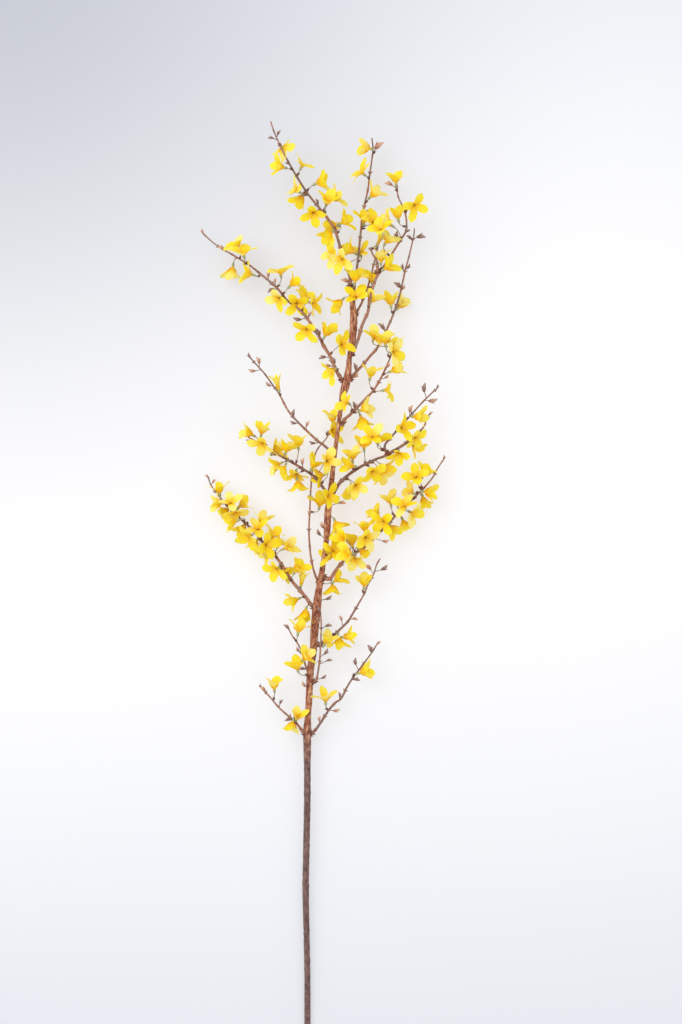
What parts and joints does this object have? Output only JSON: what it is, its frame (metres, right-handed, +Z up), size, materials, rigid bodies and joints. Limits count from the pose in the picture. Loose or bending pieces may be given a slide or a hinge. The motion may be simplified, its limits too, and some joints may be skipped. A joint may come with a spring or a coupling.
{
  "type": "forsythia branch",
  "caption": "Cut woody branch in flower: a long bare lower stem, and leafless side sprays set with four-petalled yellow blooms and pointed buds.",
  "frame": {"origin": "middle of the branch's bounding box, on the surface that the branch lies on", "axes": "+Y along the branch from its cut end to its tips, +X to the right as the picture shows it, +Z up from the surface"},
  "size_m": [0.2957, 1.1012, 0.0929],
  "materials": {
    "bark": "rough red-brown bark, smoother and darker on the lower stem",
    "blossom": "thin matt saturated yellow petals on grey-brown twigs with brown-mauve buds"
  },
  "bodies": {
    "root": {"main_stem": "bark", "leader_spray_top_left": "blossom", "top_centre_spray": "blossom", "top_right_spray": "blossom", "hidden_top_spray": "blossom", "thin_right_spray": "blossom", "right_spray": "blossom", "upper_left_spray": "blossom", "bare_left_spray": "blossom", "left_spray": "blossom", "behind_stem_spray": "blossom", "right_forked_spray": "blossom", "big_right_spray": "blossom", "big_left_spray": "blossom", "lower_right_spray": "blossom", "bud_twig_by_stem": "blossom", "lower_left_twig": "blossom", "lowest_left_spray": "blossom", "lowest_right_spray": "blossom"}
  },
  "joints": []
}
